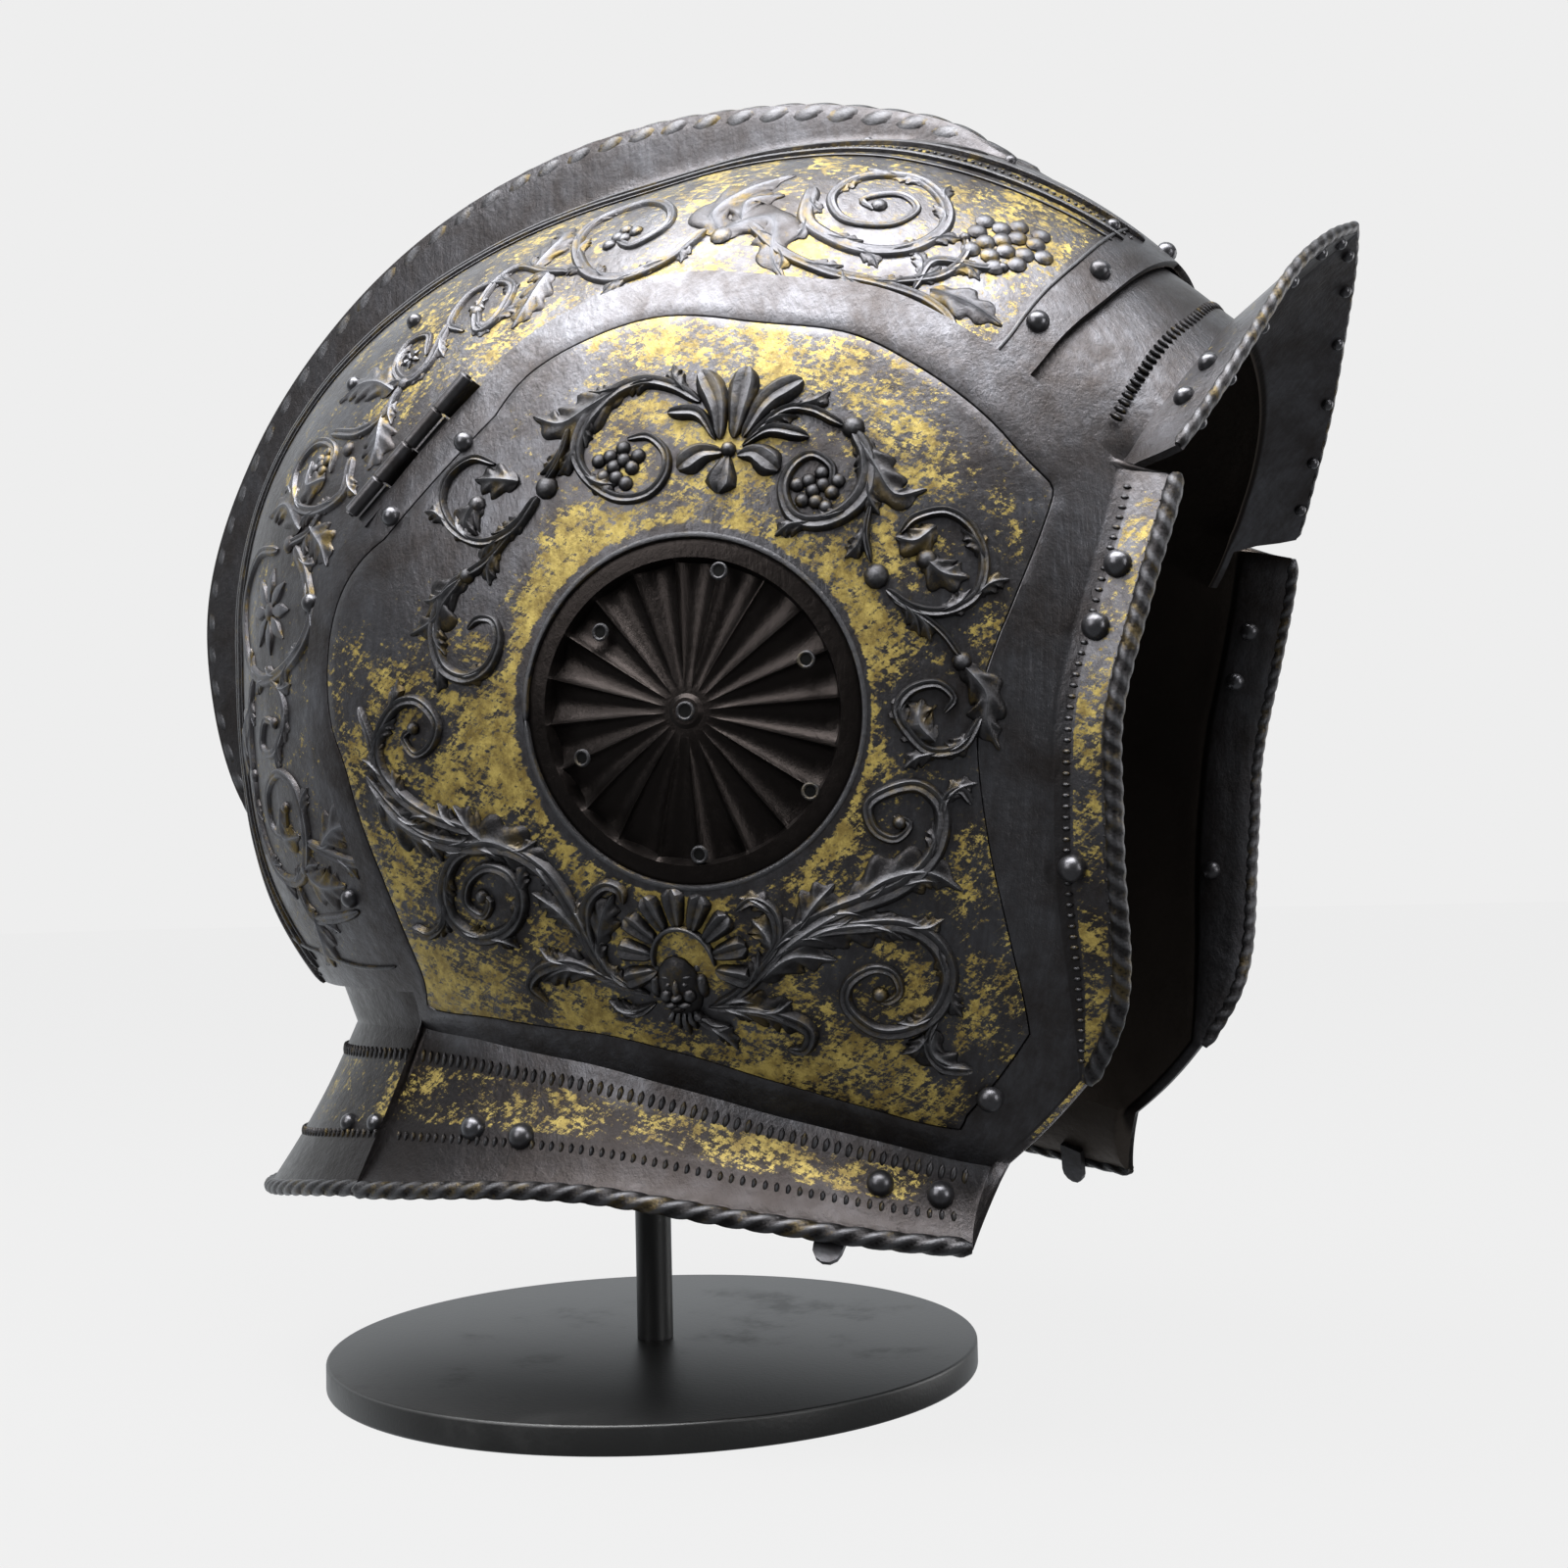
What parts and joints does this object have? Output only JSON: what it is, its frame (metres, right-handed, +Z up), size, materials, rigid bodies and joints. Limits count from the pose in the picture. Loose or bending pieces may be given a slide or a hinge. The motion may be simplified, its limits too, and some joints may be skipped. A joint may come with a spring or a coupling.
{
  "type": "parade helmet on display stand",
  "caption": "Closed parade helmet with a tall comb, upturned pointed peak and hinged cheek-pieces, carried on a plain rod with a round base.",
  "frame": {"origin": "centre of the underside of the stand's base disc", "axes": "+Z up, the helmet faces -Y, its right side is at -X"},
  "size_m": [0.1912, 0.3426, 0.3337],
  "materials": {
    "patinated_steel": "brown-black patina with worn highlights and olive-gold gilding on the ground",
    "dark_steel": "dark, slightly polished",
    "matt_black": "matt black paint"
  },
  "bodies": {
    "helmet": {"stand_base": "matt_black", "stand_post": "matt_black", "skull": "patinated_steel", "brow_peak": "patinated_steel", "nape_collar": "patinated_steel", "brow_rivet_middle": "dark_steel", "right_bowl_knuckle_upper": "dark_steel", "right_bowl_knuckle_lower": "dark_steel", "right_hinge_pin": "dark_steel", "right_skull_rivet_1": "dark_steel", "right_skull_rivet_2": "dark_steel", "right_skull_rivet_3": "dark_steel", "right_skull_rivet_4": "dark_steel", "right_brow_rivet_1": "dark_steel", "right_brow_rivet_2": "dark_steel", "right_nape_rivet_1": "dark_steel", "right_nape_rivet_2": "dark_steel", "right_brow_band_rivet_1": "dark_steel", "right_brow_band_rivet_2": "dark_steel", "left_bowl_knuckle_upper": "dark_steel", "left_bowl_knuckle_lower": "dark_steel", "left_hinge_pin": "dark_steel", "left_skull_rivet_1": "dark_steel", "left_skull_rivet_2": "dark_steel", "left_skull_rivet_3": "dark_steel", "left_skull_rivet_4": "dark_steel", "left_brow_rivet_1": "dark_steel", "left_brow_rivet_2": "dark_steel", "left_nape_rivet_1": "dark_steel", "left_nape_rivet_2": "dark_steel", "left_brow_band_rivet_1": "dark_steel", "left_brow_band_rivet_2": "dark_steel"},
    "right_cheek_piece": {"right_cheek": "patinated_steel", "right_cheek_knuckle_upper": "dark_steel", "right_cheek_knuckle_lower": "dark_steel", "right_cheek_rivet_1": "dark_steel", "right_cheek_rivet_2": "dark_steel", "right_cheek_rivet_3": "dark_steel", "right_flange_rivet_1": "dark_steel", "right_flange_rivet_2": "dark_steel", "right_flange_rivet_3": "dark_steel", "right_collar_rivet_1": "dark_steel", "right_collar_rivet_2": "dark_steel", "right_collar_rivet_3": "dark_steel", "right_collar_rivet_4": "dark_steel", "right_strap_peg": "dark_steel"},
    "left_cheek_piece": {"left_cheek": "patinated_steel", "left_cheek_knuckle_upper": "dark_steel", "left_cheek_knuckle_lower": "dark_steel", "left_cheek_rivet_1": "dark_steel", "left_cheek_rivet_2": "dark_steel", "left_cheek_rivet_3": "dark_steel", "left_flange_rivet_1": "dark_steel", "left_flange_rivet_2": "dark_steel", "left_flange_rivet_3": "dark_steel", "left_collar_rivet_1": "dark_steel", "left_collar_rivet_2": "dark_steel", "left_collar_rivet_3": "dark_steel", "left_collar_rivet_4": "dark_steel", "left_strap_hook": "dark_steel"}
  },
  "joints": [
    {"name": "right_cheek_hinge", "type": "hinge", "parent": "helmet", "child": "right_cheek_piece", "pos_m": [-0.09071, 0.0085, 0.2292], "axis": [-0.1141, 0.7118, -0.693], "range_deg": [0, 70]},
    {"name": "left_cheek_hinge", "type": "hinge", "parent": "helmet", "child": "left_cheek_piece", "pos_m": [0.09071, 0.0085, 0.2292], "axis": [-0.1141, -0.7118, 0.693], "range_deg": [0, 70]}
  ]
}
